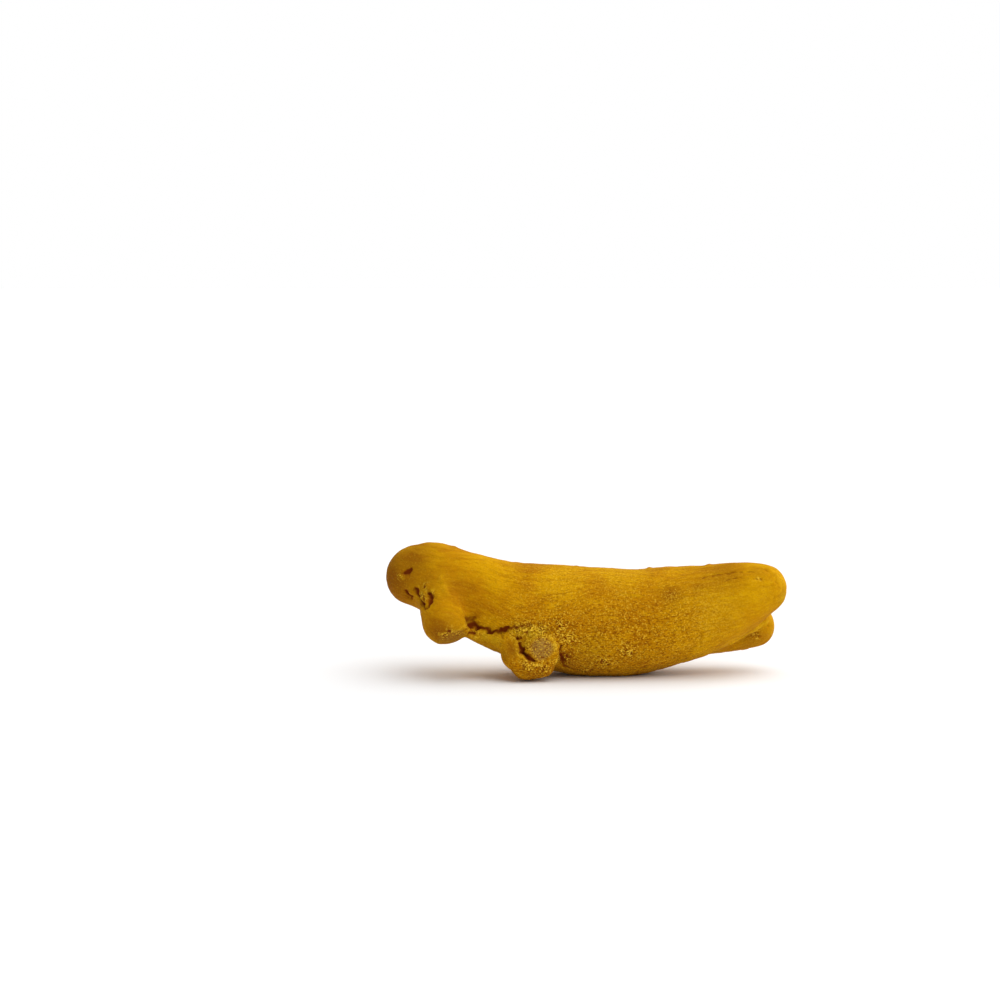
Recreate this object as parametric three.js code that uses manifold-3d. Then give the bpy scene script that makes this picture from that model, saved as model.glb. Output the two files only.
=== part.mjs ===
// Turmeric root: one finger of the rhizome as broken from the plant, lying on its belly.
// Millimetres, +Z up. X runs along the finger, from the blunt head at -X to the growing tip at +X.
// The two buds stand out of the -Y side, and the snapped stub and the eyes are on the +Y side.
// The origin is at the middle of the underside of the root's box.
import * as THREE from "three";
import { mergeVertices } from "three/addons/utils/BufferGeometryUtils.js";
import Module from "manifold-3d";

// Driving dimensions
const LENGTH = 75; // head to tip
const GIRTH = 20.2; // across the belly, the thickest stretch
const DEPTH = 0.94; // width front to back for each millimetre of height
const PRESSED = 0.35; // depth of the belly that the flat resting spot takes away

const HALF_LENGTH = LENGTH / 2;
const HALF_GIRTH = GIRTH / 2;

// The body: where its middle line runs and how thick it is. x is a share of half the length,
// y and z are in belly radii from the middle plane and the table, r is a share of the belly radius.
const BODY = [
  { x: -0.845, y: 0.3, z: 1.835, r: 0.578 },
  { x: -0.74, y: 0.2, z: 1.79, r: 0.66 },
  { x: -0.576, y: 0.04, z: 1.555, r: 0.73 },
  { x: -0.368, y: -0.03, z: 1.285, r: 0.862 },
  { x: -0.12, y: 0, z: 1.069, r: 1.0 },
  { x: 0.155, y: 0.06, z: 0.995, r: 1.005 },
  { x: 0.427, y: 0.08, z: 1.113, r: 0.925 },
  { x: 0.62, y: 0.02, z: 1.3, r: 0.775 },
  { x: 0.79, y: -0.06, z: 1.535, r: 0.6 },
  { x: 0.872, y: -0.08, z: 1.63, r: 0.48 },
];
const BODY_STEPS = 27; // straight stretches that the body's line is measured along

// Side growths: round-ended lobes from root to tip in millimetres, with the radius at each end and the
// width of the hollow that joins them to what they grow from. A cut is the plane of a snapped end:
// its distance past the tip and the way it faces.
const LOBES = {
  hanging_bud: {
    root: [-26.8, -2.4, 15.8],
    tip: [-26.1, -6.5, 11.1],
    radii: [4.5, 4.25],
    hollow: 1.4,
    cut: { past: 3.6, faces: [0.32, -0.5, -0.8] },
  },
  bud_shelf: {
    root: [-21.6, -5.9, 9.3],
    tip: [-14.8, -7.4, 7.3],
    radii: [1.2, 1.5],
    hollow: 0.7,
  },
  bud_base: {
    root: [-9.5, -2.5, 8],
    tip: [-10.4, -6.4, 4.5],
    radii: [5.5, 3.9],
    hollow: 1.5,
  },
  sheath_side: {
    root: [-14.1, -6.7, 8.0],
    tip: [-13.5, -7.8, 5.35],
    radii: [2.1, 2.35],
    hollow: 0.8,
  },
  sheath_foot: {
    root: [-11.1, -8.0, 3.0],
    tip: [-7.9, -8.0, 3.2],
    radii: [2.35, 2.15],
    hollow: 1.0,
  },
  snapped_bud: {
    root: [-7.7, -3.5, 7.4],
    tip: [-8.0, -8.2, 6.0],
    radii: [4.4, 3.2],
    hollow: 0.4,
    cut: { past: 2.2, faces: [0.1, -0.98, -0.12] },
  },
  tip_spur: {
    root: [15, 3.0, 7.6],
    tip: [31.9, 4.6, 8.95],
    radii: [5.4, 4.1],
    hollow: 0.7,
  },
  snapped_stub: {
    root: [3.5, 4.5, 11],
    tip: [5.0, 10.6, 13.2],
    radii: [5.4, 4.0],
    hollow: 2.4,
    cut: { past: 1.4, faces: [0.24, 0.92, 0.3] },
  },
  neck_eye: {
    root: [-19.5, 3.5, 14.5],
    tip: [-20.0, 6.9, 15.6],
    radii: [3.0, 2.3],
    hollow: 1.8,
  },
  tip_eye: {
    root: [20.0, 4.0, 14.5],
    tip: [20.7, 7.2, 15.9],
    radii: [3.0, 1.9],
    hollow: 1.6,
  },
};
const CUT_EDGE = 0.8; // rounding of a snapped end's rim

// Slow swellings and dents that no lobe makes: waves that cross each other, each with the way that
// it runs, its length and its height
const SWELLINGS = [
  { way: [0.91, 0.35, 0.2], length: 23, height: 0.1 },
  { way: [0.62, -0.7, 0.35], length: 14, height: 0.08 },
  { way: [0.2, 0.55, 0.81], length: 11, height: 0.06 },
  { way: [-0.75, 0.1, 0.65], length: 9, height: 0.05 },
];

// The skin: a capsule net cast onto the lobes, evened out, and split until its edges are short enough
const NET = { around: 32, along: 42, cap: 8 };
const CAST = { from: 30, stride: 0.6, steps: 80, near: 0.01 }; // stride is a share of the gap left
const EDGE = { body: 2.1, bud: 1.05 }; // longest edge on the plain body and on the buds
const BUD_REACH = { near: 5.5, far: 9 }; // distance from a bud's tip where the edges start and stop growing
const ROUNDS = 3; // times that the net is split
const RELAX = { passes: 40, share: 0.6 }; // passes in each round, and the way gone to the middle in a pass
const SETTLING_STEPS = 3; // last steps that bring each point exactly onto the skin
const WELD = 1e-4; // points nearer than this are one

const wasm = await Module();
wasm.setup();

// The body's line, as short stretches with a radius at each end.
function bodyStretches() {
  const line = new THREE.CatmullRomCurve3(
    BODY.map(({ x, y, z }) => new THREE.Vector3(x * HALF_LENGTH, y * HALF_GIRTH, z * HALF_GIRTH)),
    false,
    "catmullrom",
    0.5,
  );
  const thickness = new THREE.SplineCurve(BODY.map(({ r }) => new THREE.Vector2(0, r * HALF_GIRTH)));
  const points = line.getPoints(BODY_STEPS);
  const radii = thickness.getPoints(BODY_STEPS).map((p) => p.y);
  return { line, points, radii };
}
const body = bodyStretches();

// Distance from p to a round-ended stretch whose radius changes evenly from a to b.
function stretchDistance(p, a, b, radiusA, radiusB) {
  const dx = b.x - a.x;
  const dy = b.y - a.y;
  const dz = b.z - a.z;
  const along = ((p.x - a.x) * dx + (p.y - a.y) * dy + (p.z - a.z) * dz) / (dx * dx + dy * dy + dz * dz);
  const t = Math.min(1, Math.max(0, along));
  const sx = p.x - a.x - dx * t;
  const sy = p.y - a.y - dy * t;
  const sz = p.z - a.z - dz * t;
  return Math.sqrt(sx * sx + sy * sy + sz * sz) - radiusA - (radiusB - radiusA) * t;
}

// The nearer of two surfaces, joined by a hollow of about that width.
function grownTogether(a, b, hollow) {
  const h = Math.max(hollow - Math.abs(a - b), 0) / hollow;
  return Math.min(a, b) - (h * h * hollow) / 4;
}

function bodyDistance(p) {
  const { points, radii } = body;
  const squashed = { x: p.x, y: p.y / DEPTH, z: p.z };
  let nearest = Infinity;
  for (let i = 0; i < BODY_STEPS; i++) {
    const gap = stretchDistance(squashed, points[i], points[i + 1], radii[i], radii[i + 1]);
    nearest = Math.min(nearest, gap);
  }
  return nearest;
}

const lobes = Object.values(LOBES).map(({ root, tip, radii, hollow, cut }) => ({
  root: new THREE.Vector3(...root),
  tip: new THREE.Vector3(...tip),
  radii,
  hollow,
  cut: cut && { past: cut.past, faces: new THREE.Vector3(...cut.faces).normalize() },
}));

function lobeDistance(p, { root, tip, radii, cut }) {
  const round = stretchDistance(p, root, tip, ...radii);
  if (!cut) return round;
  const n = cut.faces;
  const past = (p.x - tip.x) * n.x + (p.y - tip.y) * n.y + (p.z - tip.z) * n.z - cut.past;
  return -grownTogether(-round, -past, CUT_EDGE);
}

function swelling({ x, y, z }) {
  let rise = 0;
  for (const { way, length, height } of SWELLINGS) {
    rise += height * Math.sin((2 * Math.PI * (x * way[0] + y * way[1] + z * way[2])) / length);
  }
  return rise;
}

// How far p is outside the root's skin; negative inside.
function rootDistance(p) {
  let distance = bodyDistance(p);
  for (const lobe of lobes) {
    distance = grownTogether(distance, lobeDistance(p, lobe), lobe.hollow);
  }
  return distance - swelling(p);
}

const STEP = 0.02; // distance that the slope of the field is measured over
const LEAST_SLOPE = 0.2; // keeps a point where the field is nearly level from being thrown far
const slope = new THREE.Vector3();
// Moves p straight towards the skin, by one step of Newton's method.
function dropOntoSkin(p) {
  const here = rootDistance(p);
  slope.set(
    rootDistance({ x: p.x + STEP, y: p.y, z: p.z }) - here,
    rootDistance({ x: p.x, y: p.y + STEP, z: p.z }) - here,
    rootDistance({ x: p.x, y: p.y, z: p.z + STEP }) - here,
  );
  slope.divideScalar(STEP);
  p.addScaledVector(slope, -here / Math.max(slope.lengthSq(), LEAST_SLOPE));
}

// A closed net of points round the body's line, one for each point of a capsule.
function capsuleNet() {
  const capsule = new THREE.CapsuleGeometry(HALF_GIRTH, LENGTH - GIRTH, NET.cap, NET.around, NET.along);
  capsule.rotateZ(-Math.PI / 2);
  capsule.deleteAttribute("normal");
  capsule.deleteAttribute("uv");
  return mergeVertices(capsule, WELD);
}

// Casts each point of the net inwards, to the outermost skin between it and the body's line.
function castOntoSkin(points) {
  const foot = new THREE.Vector3();
  const way = new THREE.Vector3();
  const straight = LENGTH / 2 - HALF_GIRTH;
  for (const p of points) {
    const share = (THREE.MathUtils.clamp(p.x, -straight, straight) + straight) / (2 * straight);
    body.line.getPoint(share, foot);
    way.set(p.x - THREE.MathUtils.clamp(p.x, -straight, straight), p.y, p.z).normalize();
    let out = CAST.from;
    for (let step = 0; step < CAST.steps; step++) {
      p.copy(foot).addScaledVector(way, out);
      const gap = rootDistance(p);
      if (gap < CAST.near) break;
      out -= gap * CAST.stride;
    }
  }
}

const { hanging_bud, sheath_side, sheath_foot, snapped_bud, snapped_stub } = LOBES;
const budTips = [hanging_bud, sheath_side, sheath_foot, snapped_bud, snapped_stub].map(
  ({ tip }) => new THREE.Vector3(...tip),
);
// The longest edge that the net may have at p.
function longestEdge(p) {
  const toBud = Math.min(...budTips.map((tip) => tip.distanceTo(p)));
  const plain = THREE.MathUtils.smoothstep(toBud, BUD_REACH.near, BUD_REACH.far);
  return THREE.MathUtils.lerp(EDGE.bud, EDGE.body, plain);
}

// Splits each edge that is too long at its middle, and the triangles beside it with it.
function splitLongEdges(points, triangles) {
  const middles = new Map();
  const middleOf = (a, b) => {
    const key = a < b ? `${a} ${b}` : `${b} ${a}`;
    if (!middles.has(key)) {
      const middle = points[a].clone().lerp(points[b], 0.5);
      const long = points[a].distanceTo(points[b]) > longestEdge(middle);
      middles.set(key, long ? points.push(middle) - 1 : null);
    }
    return middles.get(key);
  };
  const split = [];
  for (const corners of triangles) {
    const middle = corners.map((a, i) => middleOf(a, corners[(i + 1) % 3]));
    const count = middle.filter((m) => m !== null).length;
    // turned so that the first edge is split, and the last one is whole if only one is
    let turn = 0;
    if (count === 1) turn = middle.findIndex((m) => m !== null);
    if (count === 2) turn = (middle.indexOf(null) + 1) % 3;
    const [a, b, c] = [0, 1, 2].map((i) => corners[(i + turn) % 3]);
    const [ab, bc, ca] = [0, 1, 2].map((i) => middle[(i + turn) % 3]);
    if (count === 0) split.push([a, b, c]);
    if (count === 1) split.push([a, ab, c], [ab, b, c]);
    if (count === 2) split.push([ab, b, bc], [a, ab, bc], [a, bc, c]);
    if (count === 3) split.push([a, ab, ca], [ab, b, bc], [bc, c, ca], [ab, bc, ca]);
  }
  return split;
}

// Slides each point to the middle of its neighbours and back onto the skin, pass after pass.
function evenOut(points, triangles) {
  const neighbours = points.map(() => new Set());
  for (const [a, b, c] of triangles) {
    neighbours[a].add(b).add(c);
    neighbours[b].add(c).add(a);
    neighbours[c].add(a).add(b);
  }
  const middle = new THREE.Vector3();
  for (let pass = 0; pass < RELAX.passes; pass++) {
    points.forEach((p, i) => {
      middle.set(0, 0, 0);
      let total = 0;
      for (const n of neighbours[i]) {
        const weight = 1 / longestEdge(points[n]);
        middle.addScaledVector(points[n], weight);
        total += weight;
      }
      p.lerp(middle.divideScalar(total), RELAX.share);
      dropOntoSkin(p);
    });
  }
}

function toSolid(geometry) {
  const merged = mergeVertices(geometry, WELD);
  return new wasm.Manifold(
    new wasm.Mesh({
      numProp: 3,
      vertProperties: merged.attributes.position.array,
      triVerts: new Uint32Array(merged.index.array),
    }),
  );
}

function toGeometry(solid) {
  const { vertProperties, triVerts } = solid.getMesh();
  const geometry = new THREE.BufferGeometry();
  geometry.setAttribute("position", new THREE.BufferAttribute(vertProperties, 3));
  geometry.setIndex(new THREE.BufferAttribute(triVerts, 1));
  return geometry;
}

// The space under the table, which flattens the belly where it rests.
function underTable() {
  const box = new THREE.BoxGeometry(2 * LENGTH, 2 * LENGTH, LENGTH);
  box.deleteAttribute("normal");
  box.deleteAttribute("uv");
  return box.translate(0, 0, PRESSED - LENGTH / 2);
}

// The root's skin as one closed net of triangles.
function skinGeometry() {
  const net = capsuleNet();
  const position = net.getAttribute("position");
  const points = [];
  for (let i = 0; i < position.count; i++) {
    points.push(new THREE.Vector3().fromBufferAttribute(position, i));
  }
  let triangles = [];
  for (let i = 0; i < net.index.count; i += 3) {
    triangles.push([0, 1, 2].map((corner) => net.index.getX(i + corner)));
  }
  castOntoSkin(points);
  evenOut(points, triangles);
  for (let round = 0; round < ROUNDS; round++) {
    triangles = splitLongEdges(points, triangles);
    evenOut(points, triangles);
  }
  for (let step = 0; step < SETTLING_STEPS; step++) points.forEach(dropOntoSkin);
  return new THREE.BufferGeometry().setFromPoints(points).setIndex(triangles.flat());
}

function makeRoot() {
  const geometry = toGeometry(toSolid(skinGeometry()).subtract(toSolid(underTable())));
  geometry.computeBoundingBox();
  const { min, max } = geometry.boundingBox;
  geometry.translate(-(min.x + max.x) / 2, -(min.y + max.y) / 2, -PRESSED);
  geometry.computeVertexNormals();
  const skin = new THREE.MeshStandardMaterial({ color: 0xb87d0c, roughness: 0.85, metalness: 0 });
  const root = new THREE.Mesh(geometry, skin);
  root.name = "turmeric_root";
  return root;
}

const part = new THREE.Group();
part.add(makeRoot());
export default part;
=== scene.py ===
import math
import random

import bmesh
import bpy
import numpy as np
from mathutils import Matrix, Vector, noise
from mathutils.bvhtree import BVHTree


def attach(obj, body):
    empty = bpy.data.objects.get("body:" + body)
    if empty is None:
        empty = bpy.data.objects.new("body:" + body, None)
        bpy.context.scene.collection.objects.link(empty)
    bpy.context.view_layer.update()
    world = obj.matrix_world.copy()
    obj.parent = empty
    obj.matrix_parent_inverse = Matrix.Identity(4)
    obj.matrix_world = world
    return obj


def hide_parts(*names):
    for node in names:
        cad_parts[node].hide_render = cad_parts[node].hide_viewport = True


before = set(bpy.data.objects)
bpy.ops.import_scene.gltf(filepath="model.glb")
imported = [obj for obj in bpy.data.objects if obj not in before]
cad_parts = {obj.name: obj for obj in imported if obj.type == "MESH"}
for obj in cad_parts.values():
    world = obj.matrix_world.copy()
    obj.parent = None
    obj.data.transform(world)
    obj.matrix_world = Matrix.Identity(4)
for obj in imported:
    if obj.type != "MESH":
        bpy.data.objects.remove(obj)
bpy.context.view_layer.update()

# Camera: a long lens a little above the table, looking along +Y at the photograph's viewing angle.
# The root spans 402 of the photograph's 1000 pixels. Its middle and the table under it are set by
# where they are seen there.
IMAGE = 1000
PIXELS_PER_METRE = 5360
CAMERA_DISTANCE = 0.6
LOOKING_DOWN = math.radians(6.5)
SEEN_MIDDLE = 586  # pixel column of the root's middle
SEEN_TABLE = 673  # pixel row of the table under it
SENSOR_WIDTH = 36
focal = PIXELS_PER_METRE * CAMERA_DISTANCE
table_slope = (SEEN_TABLE - IMAGE / 2) / focal
aim_side = (IMAGE / 2 - SEEN_MIDDLE) / PIXELS_PER_METRE
aim_height = table_slope * CAMERA_DISTANCE / (
    math.cos(LOOKING_DOWN) - table_slope * math.sin(LOOKING_DOWN)
)
lens = bpy.data.cameras.new("camera")
lens.sensor_width = SENSOR_WIDTH
lens.lens = SENSOR_WIDTH * focal / IMAGE
camera = bpy.data.objects.new("camera", lens)
looking = Vector((0, math.cos(LOOKING_DOWN), -math.sin(LOOKING_DOWN)))
camera.location = Vector((aim_side, 0, aim_height)) - looking * CAMERA_DISTANCE
camera.rotation_euler = (math.pi / 2 - LOOKING_DOWN, 0, 0)
bpy.context.collection.objects.link(camera)
bpy.context.scene.camera = camera

# Table and light: a plain white table that runs back to a white wall, under one wide soft light from
# above and to the right, a weaker one in front, a low one behind that edges the tip, and a pale sky.
TABLE_SIZE = 3.0
TABLE_WHITE = 0.9
BACKDROP = 1.0  # how bright the wall looks to the camera
SKY_LIGHT = 0.3  # how much light comes from all round
SOFT_LIGHTS = {
    "overhead": {"from": (0.55, -0.02, 1.0), "strength": 2.95, "spread": math.radians(95)},
    "front": {"from": (0.3, -1.0, 0.6), "strength": 0.25, "spread": math.radians(60)},
    "behind": {"from": (0.8, 1.0, 0.45), "strength": 0.7, "spread": math.radians(30)},
}


class Shade:
    """A socket in a node tree. Sums written with it add Math nodes to that tree."""

    def __init__(self, tree, socket=None):
        self.tree = tree
        self.socket = socket

    def node(self, kind, settings, inputs, output=0):
        """Adds a node: its settings first, then the values or links of its inputs."""
        made = self.tree.nodes.new(kind)
        for name, value in settings.items():
            setattr(made, name, value)
        for name, value in inputs.items():
            if isinstance(value, Shade):
                self.tree.links.new(value.socket, made.inputs[name])
            else:
                made.inputs[name].default_value = value
        return Shade(self.tree, made.outputs[output] if made.outputs else None)

    def maths(self, operation, first, second):
        return self.node("ShaderNodeMath", {"operation": operation}, {0: first, 1: second})

    def __add__(self, other):
        return self.maths("ADD", self, other)

    def __radd__(self, other):
        return self.maths("ADD", other, self)

    def __mul__(self, other):
        return self.maths("MULTIPLY", self, other)

    def __rmul__(self, other):
        return self.maths("MULTIPLY", other, self)


def link(piece):
    """Puts a new object in the scene."""
    bpy.context.collection.objects.link(piece)
    return piece


def new_material(name):
    """An empty material, and the start of its node tree."""
    material = bpy.data.materials.new(name)
    material.use_nodes = True
    material.node_tree.nodes.clear()
    return material, Shade(material.node_tree)


table_sheet = bmesh.new()
bmesh.ops.create_grid(table_sheet, x_segments=1, y_segments=1, size=TABLE_SIZE / 2)
table = link(bpy.data.objects.new("table", bpy.data.meshes.new("table")))
table_sheet.to_mesh(table.data)
table_sheet.free()
white, paint = new_material("white_table")
chalk = paint.node("ShaderNodeBsdfDiffuse", {}, {"Color": (TABLE_WHITE,) * 3 + (1,)})
paint.node("ShaderNodeOutputMaterial", {}, {"Surface": chalk})
table.data.materials.append(white)

world = bpy.data.worlds.new("studio")
world.use_nodes = True
world.node_tree.nodes.clear()
sky = Shade(world.node_tree)
ray = sky.node("ShaderNodeLightPath", {}, {}, "Is Camera Ray")
strength = ray * (BACKDROP - SKY_LIGHT) + SKY_LIGHT
glow = sky.node("ShaderNodeBackground", {}, {"Color": (1, 1, 1, 1), "Strength": strength})
sky.node("ShaderNodeOutputWorld", {}, {"Surface": glow})
bpy.context.scene.world = world
bpy.context.scene.view_settings.view_transform = "Standard"

for name, light in SOFT_LIGHTS.items():
    lamp = bpy.data.lights.new(name, "SUN")
    lamp.energy = light["strength"]
    lamp.angle = light["spread"]
    holder = link(bpy.data.objects.new(name, lamp))
    holder.rotation_euler = Vector(light["from"]).to_track_quat("Z", "Y").to_euler()

# Root: one finger of the rhizome, with its buds, snapped ends and eyes, all of one growth. Its rind
# is thin, dry and dusty. It is roughened by grain and by fibres that run lengthwise, cracked where
# the buds leave the body, and scarred grey-brown where buds were snapped off.
MM = 0.001
DOUBLES = 0.02 * MM  # corners closer than this are one corner
ROUNDING = 2  # times that the solid's flat faces are rounded
VOXEL = 0.25 * MM
SMOOTHING = 3  # times that the voxels' steps are smoothed
SMOOTH_SHARE = 0.5


def show_modifiers(piece):
    """Makes what a piece's modifiers show its own mesh."""
    shown = piece.evaluated_get(bpy.context.evaluated_depsgraph_get())
    mesh = bpy.data.meshes.new_from_object(shown)
    piece.modifiers.clear()
    piece.data = mesh


solid = bmesh.new()
solid.from_mesh(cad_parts["turmeric_root"].data)
bmesh.ops.remove_doubles(solid, verts=solid.verts, dist=DOUBLES)
root = link(bpy.data.objects.new("turmeric_skin", bpy.data.meshes.new("turmeric_skin")))
solid.to_mesh(root.data)
solid.free()
rounded = root.modifiers.new("rounded", "SUBSURF")
rounded.levels = rounded.render_levels = ROUNDING
show_modifiers(root)
even = root.modifiers.new("even", "REMESH")
even.mode = "VOXEL"
even.voxel_size = VOXEL
show_modifiers(root)
skin = bmesh.new()
skin.from_mesh(root.data)
for _ in range(SMOOTHING):
    bmesh.ops.smooth_vert(
        skin, verts=skin.verts, factor=SMOOTH_SHARE, use_axis_x=True, use_axis_y=True, use_axis_z=True
    )
skin.normal_update()
places = np.array([v.co for v in skin.verts]) / MM
facing = np.array([v.normal for v in skin.verts])
along, across, up = places.T
tree = BVHTree.FromBMesh(skin)

# The body's middle line, which the fibres follow: the mean of the rind around it, every few
# millimetres along.
SLICE = 4.0
slices = np.arange(along.min() + SLICE / 2, along.max(), SLICE)
weights = [np.exp(-(((along - middle) / SLICE) ** 2)) for middle in slices]
middle_across = np.interp(along, slices, [np.average(across, weights=w) for w in weights])
middle_up = np.interp(along, slices, [np.average(up, weights=w) for w in weights])
unrolled = np.column_stack([along, across - middle_across, up - middle_up])

# Marks are placed where they are seen on the rind, in millimetres: from the front and the back as
# places along and up, from below as places along and across.
OUTSIDE = 60
SIDES = {
    "front": lambda a, b: ((a, -OUTSIDE, b), (0, 1, 0)),
    "back": lambda a, b: ((a, OUTSIDE, b), (0, -1, 0)),
    "below": lambda a, b: ((a, b, -OUTSIDE), (0, 0, 1)),
}


def on_skin(side, a, b):
    """The point of the rind that is seen there, in millimetres."""
    start, way = SIDES[side](a, b)
    hit = tree.ray_cast(Vector(start) * MM, Vector(way))[0]
    return np.array(hit) / MM


def ramp(low, high, value):
    """0 at low, 1 at high, and smooth between."""
    share = np.clip((value - low) / (high - low), 0, 1)
    return share * share * (3 - 2 * share)


def ripple(size, seed, spots=places):
    """Noise over the rind, from -1 to 1, with grains of about that size."""
    return np.array([noise.noise(Vector(spot)) for spot in spots / size + seed])


WANDER = 0.4  # how far a line strays from its spots
WANDER_GRAIN = 0.9
wandering = places + WANDER * np.column_stack([ripple(WANDER_GRAIN, seed) for seed in (47, 53, 59)])


def from_line(line):
    """How far every point of the rind is from a line drawn on its front, in widths of the line there.

    Each spot of the line has its place and half the line's width.
    """
    points = [on_skin("front", a, b) for a, b, _ in line]
    widths = [width for _, _, width in line]
    nearest = np.full(len(places), np.inf)
    for start, end, thin, thick in zip(points, points[1:], widths, widths[1:]):
        run = end - start
        share = np.clip((wandering - start) @ run / (run @ run), 0, 1)
        gap = np.linalg.norm(wandering - start - share[:, None] * run, axis=1)
        nearest = np.minimum(nearest, gap / (thin + (thick - thin) * share))
    return nearest


def from_spot(a, b, side="front"):
    """How far every point of the rind is from a spot on it."""
    return np.linalg.norm(places - on_skin(side, a, b), axis=1)


def bell(distance, width=1):
    """1 at no distance, and fading to 0 a little past that width."""
    return np.exp(-((distance / width) ** 2))


# Lines have ragged edges: the size of the bites out of them, a seed, and how deep they bite.
BITES = [(1.1, 41, 0.45), (0.5, 43, 0.4)]
ragged = np.ones(len(places))
for grain_size, seed, much in BITES:
    ragged += much * ripple(grain_size, seed)

# What the colours follow, painted shade and painted highlights among them: how much of each there
# is over the rind, from 0 to 1.
masks = {
    name: np.zeros(len(places)) for name in ("painted_crease_shade", "scar", "green", "crumb", "brown_and_painted_shade", "gold_and_painted_highlight")
}


def mark(name, amount):
    """Adds to one of the masks that the colours follow."""
    masks[name] = np.maximum(masks[name], amount)


# Grain: the belly and the middle are the roughest, the head, the tip and the top the smoothest.
# Each pair says where the rind starts to be rough and where it is fully so, along or up.
FROM_HEAD = (-25, -7)
FROM_TIP = (32, 12)
FROM_TOP = (19, 9)
TOP_SHARE = 0.4
rough = ramp(*FROM_HEAD, along) * ramp(*FROM_TIP, along)
rough *= TOP_SHARE + (1 - TOP_SHARE) * ramp(*FROM_TOP, up)

# Smoother places: the bud's sheath, its snapped end, and a band between them.
SMOOTHER = [
    (-14.2, 6.3, 2.2, 0.8),
    (-8.3, 6.5, 2.2, 0.8),
    (-11.0, 7.9, 1.2, 0.6),
]
for a, b, reach, share in SMOOTHER:
    rough *= 1 - share * bell(from_spot(a, b), reach)

# One rough patch lies high up, where the rind is otherwise smooth.
ROUGH_PATCH = (15.4, 15.9)
ROUGH_REACH = 2.6
ROUGH_SHARE = 0.85
rough = np.maximum(rough, ROUGH_SHARE * bell(from_spot(*ROUGH_PATCH), ROUGH_REACH))

# Relief of the whole rind: the size of its swellings and a seed, then how far they stand out where
# the rind is smooth and where it is rough. Fibres are the same, drawn out lengthwise.
FIBRE_SQUEEZE = (0.12, 1, 1)
fibres = unrolled * FIBRE_SQUEEZE
RELIEF = [
    (5.5, 5, places, 0.13, 0.13),
    (2.4, 11, places, 0.07, 0.07),
    (0.9, 3, places, 0.02, 0.08),
    (0.55, 17, places, 0, 0.06),
    (0.9, 29, fibres, 0.05, 0.03),
]
rise = np.zeros(len(places))
for grain_size, seed, spots, on_smooth, on_rough in RELIEF:
    rise += (on_smooth + (on_rough - on_smooth) * rough) * ripple(grain_size, seed, spots)

# Crumbly places: where a bud was pulled at, the rind broke into crumbs. Each has its reach.
CRUMB_HEIGHT = 0.34
CRUMB_GAPS = (0.1, 0.5)  # how low between crumbs it begins to darken, and is darkest
GAP_DARKNESS = 0.75
CRUMBLY = [
    (-13.0, 9.6, 1.5),
    (-10.8, 9.9, 1.6),
    (-8.2, 9.9, 1.5),
    (-4.9, 10.4, 1.6),
    (-3.6, 8.2, 1.7),
    (-4.2, 4.4, 1.5),
    (-10.9, 3.3, 1.3),
    (-8.2, 2.9, 1.6),
    (-11.0, 6.9, 1.3),
    (-21.9, 10.0, 1.4),
    (-20.7, 8.9, 1.1),
    (-30.4, 15.3, 1.5),
    (-23.8, 8.9, 1.3),
    (-26.0, 8.7, 1.3),
    (-25.2, 9.7, 1.0),
    (-34.7, 18.8, 0.6),
    (-30.0, 17.4, 0.8),
    (-28.7, 16.2, 0.7),
    (7.6, 5.4, 1.6),
    (3.5, 3.2, 1.6),
    (0.0, 1.6, 1.5),
    (31.9, 18.6, 0.6),
    (32.0, 7.2, 1.2),
]
for a, b, reach in CRUMBLY:
    mark("crumb", bell(from_spot(a, b), reach))
crumbs = ripple(0.72, 57) + 0.6 * ripple(0.5, 61)  # large ones and small ones
rise += masks["crumb"] * CRUMB_HEIGHT * crumbs
# The low gaps between crumbs get painted shade.
mark("painted_crease_shade", GAP_DARKNESS * masks["crumb"] * ramp(*CRUMB_GAPS, -crumbs))

# Knobs and pits: the reach of each, and how far it stands out. One with a height below 0 is a pit,
# with painted shade in it that is darker the deeper it goes.
PIT_DARKNESS = 1.6  # for each millimetre of depth
PIT_SHARE = 0.9  # how much of a pit is dark
KNOBS = [
    (-30.3, 15.6, 0.85, 0.45),
    (-29.5, 17.3, 0.45, 0.35),
    (-32.4, 15.9, 0.6, 0.2),
    (-32.8, 16.6, 0.8, 0.15),
    (-34.6, 18.7, 0.6, 0.15),
    (-22.6, 10.4, 0.5, 0.25),
    (-20.6, 8.1, 0.5, 0.25),
    (-22.1, 8.6, 0.4, 0.2),
    (-12.2, 10.0, 0.8, 0.3),
    (-13.6, 3.4, 1.3, 0.7),
    (31.2, 8.6, 0.8, 0.2),
    (-12.2, 8.2, 0.35, -0.4),
    (24.2, 12.0, 0.35, -0.15),
    (19.6, 16.3, 0.35, -0.15),
    (27.5, 18.9, 0.35, -0.15),
]
for a, b, reach, high in KNOBS:
    rise += high * bell(from_spot(a, b), reach)
    if high < 0:
        # Painted shade in each pit.
        mark("painted_crease_shade", -PIT_DARKNESS * high * bell(from_spot(a, b), reach * PIT_SHARE))
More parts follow.
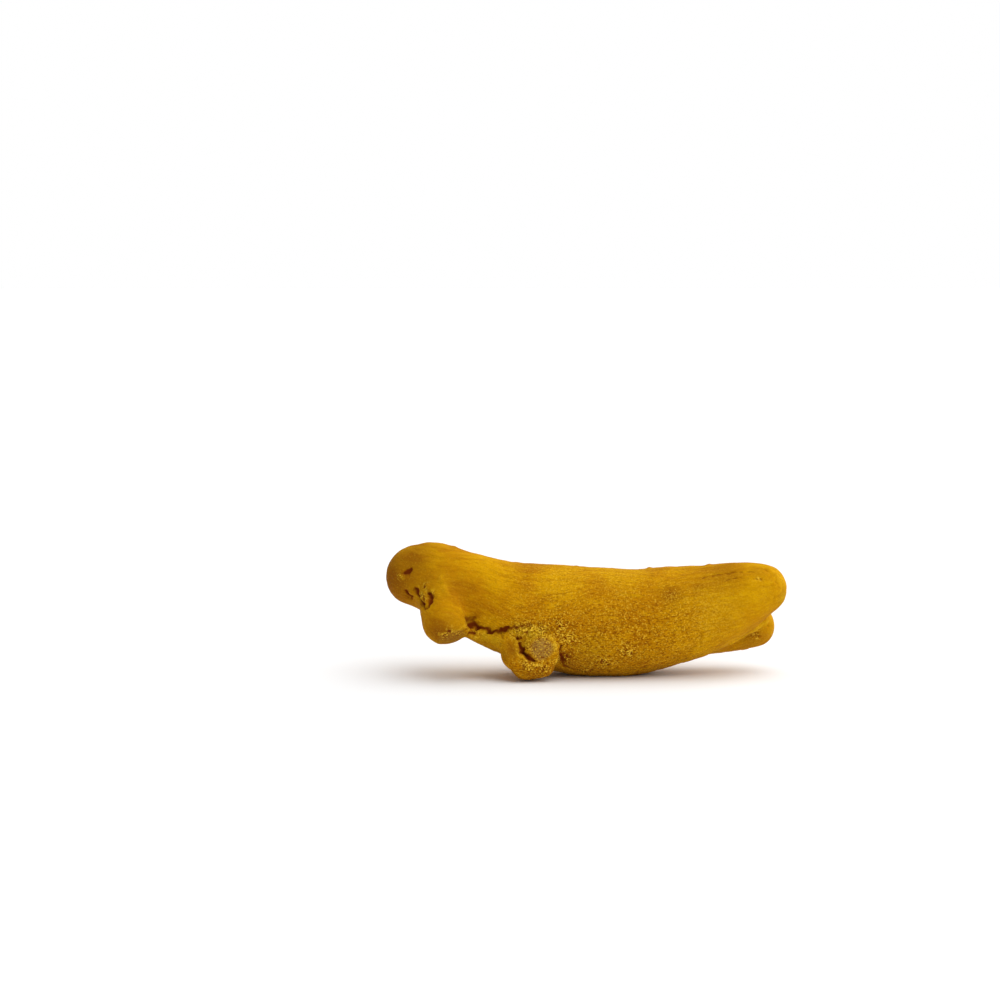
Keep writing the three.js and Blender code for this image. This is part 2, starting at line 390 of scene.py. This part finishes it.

# Cracks and creases: spots along the line with half its width there, then its depth, and how much
# shade is painted inside it.
CRACKS = {
    "head_slot": ([(-33.8, 19.3, 0.32), (-33.2, 19.7, 0.5), (-32.5, 20.2, 0.34)], 0.5, 1.0),
    "head_left": ([(-33.6, 16.0, 0.42), (-33.1, 15.3, 0.34), (-32.5, 14.4, 0.25)], 0.5, 1.0),
    "head_middle": ([(-31.7, 16.4, 0.5), (-31.3, 15.2, 0.42), (-30.3, 14.0, 0.5)], 0.7, 1.0),
    "head_right": ([(-29.4, 16.4, 0.3), (-28.8, 15.5, 0.6), (-29.3, 14.2, 0.45)], 0.8, 1.0),
    "head_fork": ([(-33.9, 15.2, 0.2), (-33.1, 14.6, 0.3), (-32.2, 15.0, 0.15)], 0.3, 0.6),
    "head_under": ([(-31.0, 14.0, 0.25), (-30.0, 13.4, 0.35), (-29.2, 14.0, 0.3)], 0.3, 0.6),
    "pit_upper": ([(-22.0, 11.5, 0.6), (-21.2, 11.3, 0.7), (-20.8, 11.6, 0.4)], 0.4, 0.6),
    "pit_middle": ([(-21.5, 10.2, 0.6), (-20.9, 10.3, 0.6), (-20.3, 10.0, 0.4)], 0.6, 0.9),
    "pit_lower": ([(-21.6, 9.0, 0.45), (-21.2, 8.8, 0.5)], 0.5, 0.9),
    "shelf_left": ([(-20.4, 10.0, 0.4), (-19.4, 9.9, 0.36), (-17.9, 9.4, 0.4)], 0.4, 0.8),
    "shelf_middle": ([(-18.2, 9.1, 0.3), (-16.0, 9.3, 0.36), (-14.6, 9.8, 0.4)], 0.6, 0.9),
    "shelf_right": ([(-14.6, 9.8, 0.35), (-13.0, 10.3, 0.28), (-10.2, 10.5, 0.25)], 0.3, 0.6),
    "shelf_upper": ([(-20.9, 10.7, 0.2), (-18.3, 10.6, 0.15), (-15.9, 10.3, 0.2)], 0.15, 0.3),
    "flap": ([(-15.9, 9.0, 0.3), (-15.7, 8.0, 0.25), (-15.9, 6.9, 0.2)], 0.3, 0.5),
    "sheath_line": ([(-14.8, 8.0, 0.12), (-14.3, 6.2, 0.2), (-13.3, 4.8, 0.12)], 0.07, 0.3),
    "sheath_upper": ([(-12.9, 8.5, 0.25), (-12.4, 7.0, 0.42), (-11.6, 5.6, 0.5)], 0.8, 1.1),
    "sheath_lower": ([(-11.9, 6.1, 0.4), (-10.9, 4.8, 0.62), (-9.7, 4.1, 0.3)], 0.9, 0.9),
    "bud_foot": ([(-4.9, 6.8, 0.25), (-4.8, 4.9, 0.4), (-4.4, 3.6, 0.55)], 0.45, 0.9),
    "belly_foot": ([(-4.6, 3.0, 0.4), (-3.2, 2.0, 0.3), (-0.8, 1.2, 0.2)], 0.25, 0.6),
    "tip_streak": ([(33.7, 18.4, 0.3), (34.7, 16.2, 0.3), (34.6, 13.4, 0.3)], 0.08, 0.1),
    "tip_edge": ([(33.2, 20.2, 0.3), (35.0, 18.2, 0.3), (35.7, 14.0, 0.3)], 0.16, 0.4),
    "top_streak": ([(21.0, 18.6, 0.15), (26.5, 19.6, 0.3), (31.0, 19.8, 0.15)], 0.1, 0.5),
    "top_streak_low": ([(25.5, 18.4, 0.15), (29.0, 18.9, 0.25), (32.5, 18.3, 0.15)], 0.1, 0.5),
    "tip_line": ([(32.4, 17.2, 0.15), (33.2, 14.8, 0.3), (32.8, 12.0, 0.15)], 0.07, 0.2),
    "head_fold": ([(-31.4, 22.0, 0.2), (-29.4, 22.6, 0.3), (-27.4, 22.1, 0.2)], 0.08, 0.2),
    "spur_crease": ([(34.4, 9.0, 0.3), (31.0, 7.2, 0.35), (27.2, 5.1, 0.3)], 0.35, 0.3),
}
for line, deep, dark in CRACKS.values():
    inside = bell(from_line(line) * ragged)
    rise -= deep * inside
    # Painted shade inside each crack.
    mark("painted_crease_shade", dark * inside)

# Ridges: spots along the line with half its width there, then its height, and how much highlight is
# painted on its crest.
RIDGES = {
    "neck": ([(-27.0, 19.1, 0.3), (-26.4, 16.7, 0.4), (-23.0, 12.8, 0.35)], 0.14, 0.35),
    "sheath_lip": ([(-13.6, 8.6, 0.4), (-12.7, 6.0, 0.45), (-11.6, 4.2, 0.4)], 0.3, 0.6),
    "foot_lip": ([(-11.6, 4.2, 0.4), (-10.4, 3.3, 0.5), (-8.6, 3.5, 0.4)], 0.25, 0.5),
    "bud_rim_right": ([(-6.9, 8.8, 0.3), (-5.8, 7.0, 0.4), (-6.0, 3.4, 0.4)], 0.3, 1.2),
    "bud_rim_top": ([(-12.6, 9.0, 0.5), (-10.4, 9.3, 0.5), (-7.1, 8.9, 0.4)], 0.25, 0.3),
    "spur_ridge": ([(34.0, 9.9, 0.4), (30.7, 8.2, 0.4), (26.9, 6.1, 0.4)], 0.3, 1.2),
    "slot_lip": ([(-34.9, 18.9, 0.25), (-34.0, 18.5, 0.3)], 0.12, 0.6),
    "scar_rim": ([(-27.2, 9.0, 0.25), (-25.6, 9.6, 0.3), (-23.4, 9.8, 0.3)], 0.15, 0.7),
}
for line, high, painted_highlight in RIDGES.values():
    crest = bell(from_line(line) * ragged)
    rise += high * crest
    # Each crest gets a painted highlight.
    mark("gold_and_painted_highlight", painted_highlight * crest)

# Leaf scars: thin raised rings that run round the hidden side, broken here and there, each with a
# line of painted shade beside it, as a groove. Each has its place along the root and how far it
# leans.
RINGS = {-27.0: 0.3, -15.5: 0.2, -2.5: 0.1, 13.0: -0.15, 25.5: -0.3}
RING_HEIGHT = 0.26
RING_WIDTH = 0.5
RING_WAVES = 0.8
GROOVE_ASIDE = 0.7
GROOVE_WIDTH = 0.35
PAINTED_GROOVE_SHADE = 0.45
RINGED_SIDE = (-4, 3)  # where across the rings begin to show, and where they show fully
RING_BREAKS = (-0.35, 0.2)  # the same, in the noise that breaks them
ringed = ramp(*RINGED_SIDE, across) * ramp(*RING_BREAKS, ripple(4.0, 83))
for place_along, lean in RINGS.items():
    ring_gap = along - place_along - lean * (up - middle_up) - RING_WAVES * ripple(3.5, 89)
    rise += RING_HEIGHT * ringed * bell(ring_gap, RING_WIDTH)
    # Painted shade beside each ring, as a groove.
    mark("painted_crease_shade", PAINTED_GROOVE_SHADE * ringed * bell(ring_gap + GROOVE_ASIDE, GROOVE_WIDTH) * ragged)

# Rootlet scars: small ringed dots where thin roots broke off the hidden side and the underside.
ROOTLETS = 22
ROOTLET_REACH = (0.45, 0.85)
ROOTLET_RIM = 0.18
ROOTLET_RIM_WIDTH = 0.28
ROOTLET_DEPTH = 0.14
ROOTLET_DARKNESS = 0.55
ROOTLET_PIT = 0.7  # how much of a dot its pit takes
HIDDEN_FROM = 3  # dots lie further across than this
ABOVE_TABLE = 0.5  # and higher up than this
rootlet_seed = random.Random(11)
rootlets = 0
while rootlets < ROOTLETS:
    pick = rootlet_seed.randrange(len(places))
    reach = rootlet_seed.uniform(*ROOTLET_REACH)
    if across[pick] < HIDDEN_FROM or up[pick] < ABOVE_TABLE:
        continue
    dot_gap = np.linalg.norm(places - places[pick], axis=1)
    pit = bell(dot_gap, reach * ROOTLET_PIT)
    rise += ROOTLET_RIM * bell(dot_gap - reach, ROOTLET_RIM_WIDTH) - ROOTLET_DEPTH * pit
    # The pit gets painted shade.
    mark("painted_crease_shade", ROOTLET_DARKNESS * pit)
    rootlets += 1

# Snapped ends: a shallow granular face that dried grey-brown, inside a slightly raised rim. Each has
# its place, the side it is seen from, its reach, how deep it is, and how grey.
SNAPPED = {
    "snapped_bud": (-8.3, 6.5, "front", 2.25, 0.2, 1.0),
    "hanging_bud": (-24.9, -9.4, "below", 2.6, 0.2, 0.25),
    "snapped_stub": (5.4, 13.6, "back", 2.9, 0.35, 0.9),
}
FACE_EDGE = (-0.5, 0.2)  # where the face starts to end and where it has ended, past its reach
FACE_GRAIN = 0.1
RIM_HEIGHT = 0.12
RIM_ASIDE = 0.3
RIM_WIDTH = 0.35
UNEVENNESS = 0.12
uneven = 1 + UNEVENNESS * ripple(1.6, 71)
for a, b, side, reach, deep, grey in SNAPPED.values():
    gap = from_spot(a, b, side) * uneven
    face = 1 - ramp(*FACE_EDGE, gap - reach)
    rise -= face * (deep + FACE_GRAIN * crumbs)
    rise += RIM_HEIGHT * bell(gap - reach - RIM_ASIDE, RIM_WIDTH)
    mark("scar", grey * face)

# Patches of colour: olive round the snapped bud and on the shelf; painted shade on the head, and
# darker brown on the buds, the neck, the feet, the spur and high up; brighter gold along the top and
# at the tip, and painted highlights on knobs and crests. Each has its reach and how much of it shows.
PATCHES = {
    "green": [
        (-12.4, 9.6, 1.5, 0.9),
        (-10.4, 9.2, 1.5, 1.0),
        (-8.4, 9.5, 1.3, 0.9),
        (-11.1, 7.2, 1.2, 0.8),
        (-18.8, 8.6, 1.7, 0.8),
        (-17.0, 7.9, 1.4, 0.8),
        (-30.4, 15.6, 0.9, 0.8),
        (-24.9, -9.4, 2.6, 0.6, "below"),
        (0.5, 5.6, 3.0, 0.4),
        (36.6, 15.0, 1.3, 0.5),
    ],
    # Darker brown, and painted shade on the head.
    "brown_and_painted_shade": [
        (15.4, 15.9, 2.3, 0.7),
        (-13.8, 6.2, 1.8, 0.9),
        (20.5, 17.0, 1.6, 0.4),
        (-4.3, 9.4, 1.8, 0.1),
        (-3.6, 3.7, 1.4, 0.8),
        (-9.5, 2.0, 1.8, 0.25),
        (-14.6, 5.6, 1.5, 0.7),
        (31.0, 6.4, 3.5, 0.7),
        (25.0, 19.4, 3.5, 0.4),
        (31.5, 19.9, 1.5, 0.4),
        # The head's patches are painted shade.
        (-36.4, 17.5, 7.0, 1.0),
        (-33.0, 21.6, 5.5, 0.8),
        (-30.0, 18.0, 5.0, 0.5),
        (-27.0, 9.2, 3.0, 1.0),
        (-24.9, -9.4, 2.8, 0.9, "below"),
        (-25.5, 11.8, 3.0, 0.4),
        (-26.9, 12.3, 1.5, 0.3),
        (-24.5, 17.0, 3.5, 0.45),
    ],
    # Brighter gold, and painted highlights on knobs and crests.
    "gold_and_painted_highlight": [
        (8.0, 5.4, 0.5, 0.9),
        (9.8, 4.5, 0.35, 0.7),
        (6.4, 5.8, 0.35, 0.7),
        (-29.9, 16.9, 0.45, 0.8),
        (-31.2, 17.0, 0.45, 0.6),
        (35.6, 18.6, 1.8, 0.7),
        (-4.0, 19.0, 6.0, 0.4),
        (6.0, 18.5, 6.0, 0.4),
        (-28.7, 16.7, 0.4, 0.9),
        (-26.9, 19.1, 0.35, 0.6),
        (-22.6, 10.4, 0.5, 0.9),
        (-20.6, 8.1, 0.5, 0.9),
        (-24.0, 11.5, 2.0, 0.3),
        (-9.9, 3.5, 0.5, 0.8),
        (-3.4, 8.2, 1.8, 0.2),
        (-9.4, 9.2, 1.5, 0.6),
        (-5.2, 3.9, 0.4, 0.8),
        (25.0, 13.0, 7.0, 0.7),
        (33.0, 15.0, 4.5, 0.5),
    ],
}
for name, spots in PATCHES.items():
    for a, b, reach, share, *side in spots:
        mark(name, share * bell(from_spot(a, b, *side), reach))

for vert, lift, way in zip(skin.verts, rise, facing):
    vert.co += Vector(way) * float(lift) * MM
    vert.co.z = max(vert.co.z, 0)
skin.to_mesh(root.data)
skin.free()
root.data.shade_smooth()
masks["rough"] = rough
for name, mask in masks.items():
    kept = root.data.attributes.new(name, "FLOAT", "POINT")
    kept.data.foreach_set("value", mask.astype(np.float32))
kept = root.data.attributes.new("unrolled", "FLOAT_VECTOR", "POINT")
kept.data.foreach_set("vector", unrolled.astype(np.float32).ravel())


def seen(red, green, blue):
    """A colour as it looks on a screen, from 0 to 255, as light."""
    parts = [c / 255 for c in (red, green, blue)]
    light = [c / 12.92 if c <= 0.04045 else ((c + 0.055) / 1.055) ** 2.4 for c in parts]
    return (*light, 1)


# The rind's colours, painted shade and painted highlights among them.
OCHRE = seen(190, 128, 2)
GOLD = seen(208, 152, 2)
BLOTCH = seen(168, 104, 2)
DARK_STREAK = seen(156, 96, 2)
PALE_STREAK = seen(222, 170, 6)
ROUGH_BROWN = seen(182, 114, 4)
OLIVE = seen(184, 146, 16)
# Darker brown, and painted shade.
BROWN_AND_PAINTED_SHADE = seen(132, 74, 8)
# Brighter gold, and painted highlights.
GOLD_AND_PAINTED_HIGHLIGHT = seen(214, 168, 4)
SCAR_GREY = seen(165, 122, 50)
PEPPER = seen(122, 58, 0)
FRECKLE = seen(112, 54, 2)
SALT = seen(240, 194, 54)
# Painted shade for cracks, pits, grooves and the gaps between crumbs.
PAINTED_CREASE_SHADE = seen(112, 46, 6)
DUST = seen(255, 210, 110)
DASH_SQUEEZE = (0.35, 1, 1)  # specks are drawn out lengthwise, but less than fibres
BUMP_HEIGHT = 0.26 * MM

rind, paint = new_material("turmeric_rind")
place = paint.node("ShaderNodeTexCoord", {}, {}, "Object")
place = paint.node("ShaderNodeVectorMath", {"operation": "SCALE"}, {0: place, "Scale": 1 / MM})
straight = paint.node("ShaderNodeAttribute", {"attribute_name": "unrolled"}, {}, "Vector")
lengthwise = paint.node(
    "ShaderNodeVectorMath", {"operation": "MULTIPLY"}, {0: straight, 1: FIBRE_SQUEEZE}
)
dashes = paint.node("ShaderNodeVectorMath", {"operation": "MULTIPLY"}, {0: straight, 1: DASH_SQUEEZE})

# Pale specks read the noise at another place, so that they don't keep to where the dark ones are.
elsewhere = paint.node("ShaderNodeVectorMath", {"operation": "ADD"}, {0: place, 1: (31, 47, 19)})


def grain(size, detail=2.0, spot=place):
    """Noise with grains of about that many millimetres, from 0 to 1."""
    return paint.node(
        "ShaderNodeTexNoise",
        {"noise_dimensions": "3D"},
        {"Vector": spot, "Scale": 1 / size, "Detail": detail},
        "Fac",
    )


def between(value, low, high):
    """0 below low, 1 above high, and smooth between."""
    return paint.node(
        "ShaderNodeMapRange",
        {"interpolation_type": "SMOOTHSTEP"},
        {"Value": value, "From Min": low, "From Max": high},
    )


def over(below, colour, share):
    """A colour laid over another, as much as share says."""
    return paint.node("ShaderNodeMix", {"data_type": "RGBA"}, {0: share, 6: below, 7: colour}, 2)


def painted(name):
    """A mask that the mesh carries."""
    return paint.node("ShaderNodeAttribute", {"attribute_name": name}, {}, "Fac")


coarse = painted("rough")
crumbled = painted("crumb")
shade_in_creases = painted("painted_crease_shade")
gold_and_painted_highlight = painted("gold_and_painted_highlight")
scarred = painted("scar")

# Ground colour: ochre and gold in wide areas, with brown blotches, and streaks along the fibres that
# show more on rough rind and under the gold and the painted highlights.
streaks = grain(0.6, 3.0, lengthwise)
dark_streaks = between(streaks, 0.5, 0.7) * (coarse * 0.3 + gold_and_painted_highlight * 0.5 + 0.25)
pale_streaks = between(streaks, 0.48, 0.3) * (coarse * 0.4 + gold_and_painted_highlight * 0.5 + 0.25)
colour = over(OCHRE, GOLD, between(grain(9), 0.38, 0.62))
colour = over(colour, BLOTCH, between(grain(2.6, 3.0, dashes), 0.46, 0.7) * 0.65)
colour = over(colour, DARK_STREAK, dark_streaks)
colour = over(colour, PALE_STREAK, pale_streaks)

# Patches, laid on where the masks have them.
colour = over(colour, ROUGH_BROWN, coarse * 0.45)
colour = over(colour, OLIVE, painted("green") * 0.9)
# Darker brown patches, and painted shade on the head.
colour = over(colour, BROWN_AND_PAINTED_SHADE, painted("brown_and_painted_shade") * 0.9)
# Brighter gold, and painted highlights on knobs and crests.
colour = over(colour, GOLD_AND_PAINTED_HIGHLIGHT, gold_and_painted_highlight * 0.5)
colour = over(colour, SCAR_GREY, scarred)

# Specks: dark pepper, larger freckles and pale salt, most of all on rough, crumbly and scarred rind.
pepper = grain(0.23, 1.0, dashes) + crumbled * 0.05
pepper_share = coarse * 0.56 + crumbled * 0.35 + scarred * 0.4 + 0.12
colour = over(colour, PEPPER, between(pepper, 0.48, 0.66) * pepper_share)
freckles = grain(0.36, 2.0, dashes) + coarse * 0.08
colour = over(colour, FRECKLE, between(freckles, 0.6, 0.7) * 0.4 * coarse)
salt = grain(0.3, 2.0, elsewhere) + crumbled * 0.04 + gold_and_painted_highlight * 0.14
salt_share = coarse * 0.54 + crumbled * 0.65 + scarred * 0.4 + 0.13
colour = over(colour, SALT, between(salt, 0.52, 0.72) * salt_share)
# Painted shade in cracks, pits, grooves and the gaps between crumbs.
colour = over(colour, PAINTED_CREASE_SHADE, between(shade_in_creases, 0.12, 0.75))

height = grain(0.32, 3.0) * (coarse * 0.6 + 0.4) + grain(0.7, 2.0, lengthwise) * 0.8
bump = paint.node("ShaderNodeBump", {}, {"Distance": BUMP_HEIGHT, "Height": height}, "Normal")
body = paint.node(
    "ShaderNodeBsdfPrincipled",
    {},
    {
        "Base Color": colour,
        "Roughness": 0.88,
        "Specular IOR Level": 0.03,
        "Sheen Weight": 0.08,
        "Sheen Roughness": 0.35,
        "Sheen Tint": DUST,
        "Normal": bump,
    },
)
paint.node("ShaderNodeOutputMaterial", {}, {"Surface": body})
root.data.materials.append(rind)
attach(root, "root")
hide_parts("turmeric_root")
